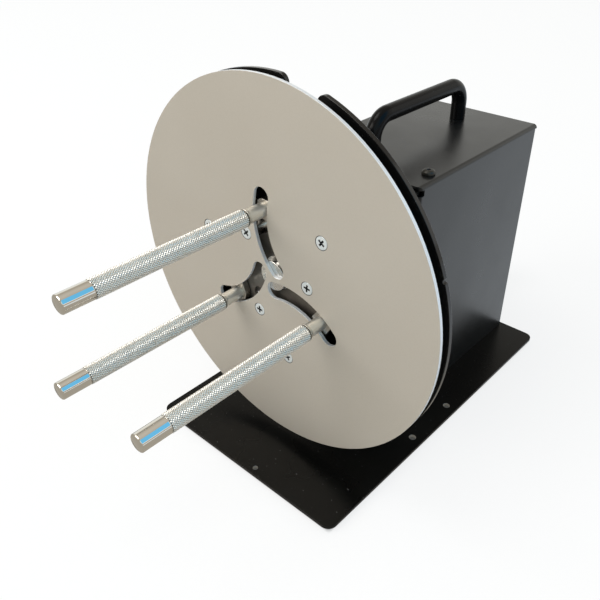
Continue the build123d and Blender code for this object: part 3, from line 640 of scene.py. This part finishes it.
# ---------------------------------------------------------------- knurled pins
def knurl_tree():
    """Geometry nodes: diamond teeth in rows round a pin along Y, each row half a tooth on."""
    tree, given, result = empty_tree("diamond_knurl", (
        ("Tooth", "Object"), ("Centre", "Vector"), ("Root Radius", "Float"), ("Row Step", "Float"),
        ("Rows", "Int"), ("Teeth Around", "Int"), ("Seed", "Int"), ("Finish", "Material"),
    ))
    link = tree.links.new
    around_count, radius = given["Teeth Around"], given["Root Radius"]
    index = add_node(tree, "GeometryNodeInputIndex").outputs["Index"]
    row = calculated(tree, "DIVIDE", calculated(tree, "ADD", index, 0.5), around_count)
    row = calculated(tree, "FLOOR", row)
    place_in_row = calculated(tree, "ADD", index, calculated(tree, "MULTIPLY", row, 0.5))
    angle = calculated(tree, "MULTIPLY", calculated(tree, "DIVIDE", place_in_row, around_count), tau)
    spot = add_node(tree, "ShaderNodeCombineXYZ")
    link(calculated(tree, "MULTIPLY", calculated(tree, "COSINE", angle), radius), spot.inputs["X"])
    link(calculated(tree, "MULTIPLY", row, given["Row Step"]), spot.inputs["Y"])
    link(calculated(tree, "MULTIPLY", calculated(tree, "SINE", angle), radius), spot.inputs["Z"])
    turn = add_node(tree, "ShaderNodeCombineXYZ")
    link(calculated(tree, "MULTIPLY", angle, -1.0), turn.inputs["Y"])
    chatter = add_node(tree, "FunctionNodeRandomValue", data_type="FLOAT_VECTOR")
    chatter.inputs[0].default_value = (-0.035, -0.05, -0.035)
    chatter.inputs[1].default_value = (0.035, 0.05, 0.035)
    link(given["Seed"], chatter.inputs["Seed"])
    points = add_node(tree, "GeometryNodePoints")
    link(calculated(tree, "MULTIPLY", given["Rows"], around_count), points.inputs["Count"])
    link(vector_result(tree, "ADD", spot.outputs["Vector"], given["Centre"]), points.inputs["Position"])
    rotation = vector_result(tree, "ADD", turn.outputs["Vector"], chatter.outputs[0])
    geometry = copies(tree, given["Tooth"], points.outputs["Points"], rotation)
    link(painted(tree, geometry, given["Finish"]), result.inputs["Geometry"])
    return tree


def knurl_tooth():
    """One blunt diamond tooth: its root on the Y-Z plane, its land towards +X."""
    fill, land, root_sink = 0.93, 0.22, 0.02 * MM
    half_length = fill * KNURL_TOOTH_LENGTH / 2
    half_width = fill * pi * KNURL_ROOT / KNURL_TEETH
    side_sink = half_width**2 / (2 * KNURL_ROOT)
    base = [
        (-root_sink, -half_length, 0), (-side_sink, 0, -half_width),
        (-root_sink, half_length, 0), (-side_sink, 0, half_width),
    ]
    top = [(KNURL_DEPTH, y * land, z * land) for _, y, z in base]
    shell = bmesh.new()
    corners = [shell.verts.new(point) for point in base + top]
    for face in [(k, (k + 1) % 4, 4 + (k + 1) % 4, 4 + k) for k in range(4)] + [(4, 5, 6, 7)]:
        shell.faces.new([corners[k] for k in face])
    bmesh.ops.recalc_face_normals(shell, faces=shell.faces)
    if sum(face.normal.x for face in shell.faces) < 0:
        bmesh.ops.reverse_faces(shell, faces=shell.faces)
    mesh = bpy.data.meshes.new("knurl_tooth")
    shell.to_mesh(mesh)
    shell.free()
    mesh.materials.append(FINISHES["knurl_nickel"])
    return in_scene(bpy.data.objects.new("knurl_tooth", mesh))


def pin_profile():
    """(Along, radius) points from rivet to tip; close pairs of them keep the shading straight."""
    knurl_start, knurl_end, tip_end = -KNURL_REAR, -KNURL_FRONT, -TIP_FRONT
    return [
        (RIVET_REAR, 0), (RIVET_REAR, RIVET_RADIUS), (PIN_REAR, RIVET_RADIUS), (PIN_REAR, NECK_RADIUS),
        (knurl_start + 0.6 * MM, NECK_RADIUS), (knurl_start + 0.4 * MM, NECK_RADIUS),
        (knurl_start, NECK_RADIUS + 0.15 * MM), (knurl_start - KNURL_CONE, KNURL_RADIUS - 0.05 * MM),
        (knurl_start - KNURL_CONE - 0.1 * MM, KNURL_ROOT), (knurl_end + 0.5 * MM, KNURL_ROOT),
        (knurl_end, KNURL_ROOT - 0.02 * MM), (knurl_end - 0.12 * MM, TIP_RADIUS - 0.1 * MM),
        (knurl_end - 0.3 * MM, TIP_RADIUS), (knurl_end - 0.45 * MM, TIP_RADIUS),
        (tip_end + 0.65 * MM, TIP_RADIUS), (tip_end + 0.5 * MM, TIP_RADIUS),
        (tip_end + 0.2 * MM, TIP_RADIUS - 0.22 * MM), (tip_end, TIP_RADIUS - 0.6 * MM), (tip_end, 0),
    ]


def pin_core(centre):
    """Turned core of a pin: polished tip, painted dark under the knurl as shade between the teeth, satin
    neck.
    """
    core = lathe(pin_profile(), PIN_STEPS, centre)
    for finish in ("tip_nickel", "knurl_valley_painted_shade", "neck_steel"):
        core.materials.append(FINISHES[finish])
    for face in core.polygons:
        ahead = FLANGE_FACE - face.center.y
        if ahead < KNURL_REAR + 1.1 * KNURL_CONE:
            face.material_index = 2
        elif ahead < KNURL_FRONT:
            face.material_index = 1
    return core


def knurled_pins():
    """Core pins: a turned core and a cut diamond knurl."""
    tooth = knurl_tooth()
    tree = knurl_tree()
    row_step = KNURL_TOOTH_LENGTH / 2
    rows = int((KNURL_FRONT - KNURL_REAR - 2 * KNURL_CONE) / row_step)
    first_row = FLANGE_FACE - KNURL_FRONT + 0.6 * KNURL_CONE
    for number in range(1, JAWS + 1):
        low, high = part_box(f"knurled_pin_{number}")
        x, z = (low.x + high.x) / 2, (low.z + high.z) / 2
        body = f"jaw_{number}"
        new_piece(f"pin_core_{number}", pin_core((x, FLANGE_FACE, z)), body, f"knurled_pin_{number}")
        knurl = grown(bpy.data.meshes.new("places"), tree, {
            "Tooth": tooth, "Centre": (x, first_row, z), "Root Radius": KNURL_ROOT, "Row Step": row_step,
            "Rows": rows, "Teeth Around": KNURL_TEETH, "Seed": number, "Finish": FINISHES["knurl_nickel"],
        })
        new_piece(f"pin_knurl_{number}", knurl, body)
    bpy.data.objects.remove(tooth)


# ---------------------------------------------------------------- dressing
DRESSED = {  # node: body, finish, width of its broken edges in millimetres
    "base_plate": ("root", "base_coat", 0.25),
    "housing_cover": ("root", "cover_coat", 0.15),
    "front_panel": ("root", "cover_coat", 0),
    "rear_panel": ("root", "cover_coat", 0),
    "carry_handle": ("root", "handle_coat", 0.2),
    "front_bearing": ("root", "bronze", 0.2),
    "rear_bearing": ("root", "bronze", 0.2),
    "setting_disc": ("setting_ring", "disc_coat", 0.2),
    "spindle": ("chuck", "turned_steel", 0.2),
    "hub": ("chuck", "turned_steel", 0.3),
    "crank_arm": ("chuck", "handle_coat", 0.3),
    "crank_grip": ("crank_handle", "grip", 0.4),
    "grip_axle": ("chuck", "zinc", 0.3),
    "rubber_feet": ("root", "rubber", 0.5),
    "front_flange": ("chuck", "flange_face", 0.15),
    "swing_arm_1": ("jaw_1", "arm_steel", 0.25),
    "swing_arm_2": ("jaw_2", "arm_steel", 0.25),
    "swing_arm_3": ("jaw_3", "arm_steel", 0.25),
}

FINISHED_AS_THEY_ARE = {
    "handle_screws": "zinc", "friction_washer": "fibre",
    "hub_set_screw": "black_oxide", "collar_set_screw": "black_oxide", "crank_set_screw": "black_oxide",
    "shaft_collar": "turned_steel", "thrust_washers": "turned_steel",
    "pivot_posts": "turned_steel", "flange_spacers": "turned_steel",
    "cam_follower_1": "turned_steel", "cam_follower_2": "turned_steel", "cam_follower_3": "turned_steel",
}


def base_finish(piece):
    """The walls of the drilled holes are bare."""
    piece.data.materials.append(FINISHES["bare_steel"])
    low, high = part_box("base_plate")
    edge = 2.5 * MM
    for face in piece.data.polygons:
        inside_x = low.x + edge < face.center.x < high.x - edge
        inside_y = low.y + edge < face.center.y < high.y - edge
        if abs(face.normal.z) < 0.9 and inside_x and inside_y:
            face.material_index = 1


def flange_finish(piece):
    """The rim and slot walls are bright, the two faces satin, the countersinks painted dark as shade."""
    piece.data.materials.append(FINISHES["flange_edge"])
    piece.data.materials.append(FINISHES["recess_dark"])
    screws = PIVOT_SCREW_PLACES + HUB_SCREW_PLACES
    countersink_reach = 4.2 * MM
    for face in piece.data.polygons:
        if abs(face.normal.y) < 0.9:
            to_screw = min(hypot(face.center.x - x, face.center.z - z) for x, _, z in screws)
            # Near a screw the wall is painted dark as shade.
            face.material_index = 2 if to_screw < countersink_reach else 1


def dress_nodes():
    """The listed nodes' own shapes: the visible ones with broken edges, the others in their finish."""
    pieces = {
        node: dressed(node, body, finish, edge * MM)
        for node, (body, finish, edge) in DRESSED.items()
    }
    base_finish(pieces["base_plate"])
    flange_finish(pieces["front_flange"])
    for node, finish in FINISHED_AS_THEY_ARE.items():
        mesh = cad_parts[node].data
        mesh.materials.clear()
        mesh.materials.append(FINISHES[finish])


# ---------------------------------------------------------------- camera, light, floor
def place_camera():
    """Camera at the photograph's solved place and lens."""
    back = Vector((
        sin(CAMERA_AZIMUTH) * cos(CAMERA_ELEVATION),
        -cos(CAMERA_AZIMUTH) * cos(CAMERA_ELEVATION),
        sin(CAMERA_ELEVATION),
    ))
    right = (-back).cross(Vector((0, 0, 1))).normalized()
    up = right.cross(-back)
    rolled_right = cos(CAMERA_ROLL) * right + sin(CAMERA_ROLL) * up
    rolled_up = -sin(CAMERA_ROLL) * right + cos(CAMERA_ROLL) * up
    turn = Matrix((rolled_right, rolled_up, back)).transposed().to_4x4()
    data = bpy.data.cameras.new("photo_camera")
    data.sensor_width = SENSOR_WIDTH
    data.lens = FOCAL_PIXELS / IMAGE_SIZE * SENSOR_WIDTH
    data.shift_x = -(CENTRE_PIXEL_X - IMAGE_SIZE / 2) / IMAGE_SIZE
    data.shift_y = (CENTRE_PIXEL_Y - IMAGE_SIZE / 2) / IMAGE_SIZE
    data.clip_start = 0.01
    camera = in_scene(bpy.data.objects.new("photo_camera", data))
    camera.matrix_world = Matrix.Translation(CAMERA_PLACE) @ turn
    bpy.context.scene.camera = camera


def soft_lamp(name, place, target, size, watts, colour):
    """Large square lamp aimed at a point."""
    data = bpy.data.lights.new(name, "AREA")
    data.shape = "SQUARE"
    data.size = size
    data.energy = watts
    data.color = colour
    lamp = in_scene(bpy.data.objects.new(name, data))
    lamp.location = place
    lamp.rotation_euler = (Vector(target) - Vector(place)).to_track_quat("-Z", "Y").to_euler()


def toward(tree, way, direction):
    """Cosine between a ray's way and a direction."""
    return vector_result(tree, "DOT_PRODUCT", way, Vector(direction).normalized(), output="Value")


def room_walls(tree, way):
    """Colour of the room: a bright wall behind, brown elsewhere, paler straight above."""
    height = toward(tree, way, (0, 0, 1))
    wall = calculated(
        tree, "MULTIPLY",
        spread(tree, toward(tree, way, (-0.45, 0.85, 0.30)), 0.1, 0.75, 0, 1),
        spread(tree, height, 0.42, 0.60, 1, 0),
    )
    above = spread(tree, height, 0.75, 0.95, 0, 1)
    brown_room = blended(tree, above, (0.50, 0.455, 0.385), (0.68, 0.64, 0.57))
    return blended(tree, wall, brown_room, (0.99, 0.99, 0.94))


def window_band(tree, way, room):
    """The room with a long window on the right, pale, blue and white along it, and a bright strip."""
    level_way = vector_result(tree, "NORMALIZE", vector_result(tree, "MULTIPLY", way, (1, 0, 1)))
    nearness = toward(tree, level_way, (0.78, 0, 0.62))
    ragged = calculated(tree, "MULTIPLY_ADD", noise(tree, way, 9, 3), 0.05, nearness)
    across = toward(tree, way, (0, 1, 0))
    rearward = spread(tree, across, -0.25, -0.10, 0, 1)
    front_pane = blended(tree, rearward, (0.70, 0.90, 0.95), (0.19, 0.68, 1.15))
    pane = blended(tree, spread(tree, across, 0.45, 0.51, 0, 1), front_pane, (1.08, 1.05, 0.97))
    strip = spread(tree, toward(tree, level_way, (0.965, 0, 0.262)), 0.994, 0.997, 0, 1)
    with_strip = blended(tree, strip, room, (1.05, 1.05, 1.02))
    return blended(tree, spread(tree, ragged, 0.940, 0.952, 0, 1), with_strip, pane)


def room_light():
    """World: the room for light and reflections, plain white towards the camera."""
    world = bpy.data.worlds.new("pale_room")
    bpy.context.scene.world = world
    world.use_nodes = True
    tree = world.node_tree
    way = add_node(tree, "ShaderNodeTexCoord").outputs["Generated"]
    room = add_node(tree, "ShaderNodeBackground")
    tree.links.new(window_band(tree, way, room_walls(tree, way)), room.inputs["Color"])
    white = add_node(tree, "ShaderNodeBackground")
    white.inputs["Color"].default_value = (1, 1, 1, 1)
    path = add_node(tree, "ShaderNodeLightPath")
    choose = add_node(tree, "ShaderNodeMixShader")
    tree.links.new(path.outputs["Is Camera Ray"], choose.inputs["Fac"])
    tree.links.new(room.outputs["Background"], choose.inputs[1])
    tree.links.new(white.outputs["Background"], choose.inputs[2])
    tree.links.new(choose.outputs["Shader"], tree.nodes["World Output"].inputs["Surface"])


def under_box(tree, place, low, high):
    """1 under a box that stands on the floor, 0 beside it."""
    from_middle = vector_result(tree, "SUBTRACT", place, (low + high) / 2)
    apart = vector_parts(tree, vector_result(tree, "ABSOLUTE", from_middle))
    half = (high - low) / 2
    return calculated(
        tree, "MULTIPLY",
        spread(tree, apart["X"], half.x - 4 * MM, half.x - 1 * MM, 1, 0),
        spread(tree, apart["Y"], half.y - 4 * MM, half.y - 1 * MM, 1, 0),
    )


def floor_finish():
    """White table: white towards the camera but for shadow, with a painted shadow under the plate; for
    glossy rays it glows a painted reflection, beige in front.
    """
    finish, tree, shader = new_finish("white_table")
    place = object_place(tree)
    grain = noise(tree, place, 300, 3)
    pale = blended(tree, grain, (0.90, 0.91, 0.92), (0.94, 0.95, 0.96))
    tree.links.new(pale, shader.inputs["Base Color"])
    shader.inputs["Roughness"].default_value = 0.8
    # Painted reflection: for glossy rays the floor glows beige in front and blue-white further back.
    rearward = spread(tree, vector_parts(tree, place)["Y"], 0.02, 0.16, 0, 1)
    painted_reflection_glow = add_node(tree, "ShaderNodeEmission")
    reflection = blended(tree, rearward, (0.46, 0.43, 0.375), (0.93, 0.99, 1.04))
    tree.links.new(reflection, painted_reflection_glow.inputs["Color"])
    # Painted shadow: the camera-ray glow is dark under the base plate.
    shaded = under_box(tree, place, *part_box("base_plate"))
    glow = add_node(tree, "ShaderNodeEmission")
    tree.links.new(blended(tree, shaded, (1, 1, 1), (0.07, 0.07, 0.065)), glow.inputs["Color"])
    path = add_node(tree, "ShaderNodeLightPath")
    shown = shader.outputs["BSDF"]
    for ray, most, other in (("Is Glossy Ray", 1, painted_reflection_glow), ("Is Camera Ray", 0.8, glow)):
        mix = add_node(tree, "ShaderNodeMixShader")
        tree.links.new(spread(tree, path.outputs[ray], 0, 1, 0, most), mix.inputs["Fac"])
        tree.links.new(shown, mix.inputs[1])
        tree.links.new(other.outputs["Emission"], mix.inputs[2])
        shown = mix.outputs["Shader"]
    tree.links.new(shown, tree.nodes["Material Output"].inputs["Surface"])
    return finish


def studio():
    """Pale floor, pale room and soft lamps."""
    middle = (0, 0, 0.1)
    soft_lamp("front_lamp", (-1.6, -3.4, 2.1), middle, 2.6, 98, (1.0, 0.975, 0.93))
    soft_lamp("overhead_lamp", (-1.0, -0.8, 3.4), middle, 1.6, 34, (1.0, 0.99, 0.96))
    room_light()
    half, foot = 6.0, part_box("rubber_feet")[0].z
    corners = [(-half, -half, foot), (half, -half, foot), (half, half, foot), (-half, half, foot)]
    floor_mesh = bpy.data.meshes.new("floor")
    floor_mesh.from_pydata(corners, [], [(0, 1, 2, 3)])
    floor_mesh.materials.append(floor_finish())
    in_scene(bpy.data.objects.new("floor", floor_mesh))


place_camera()
studio()
dress_nodes()
flange_screws()
housing_screws()
knurled_pins()

bpy.context.scene.view_settings.view_transform = "Standard"
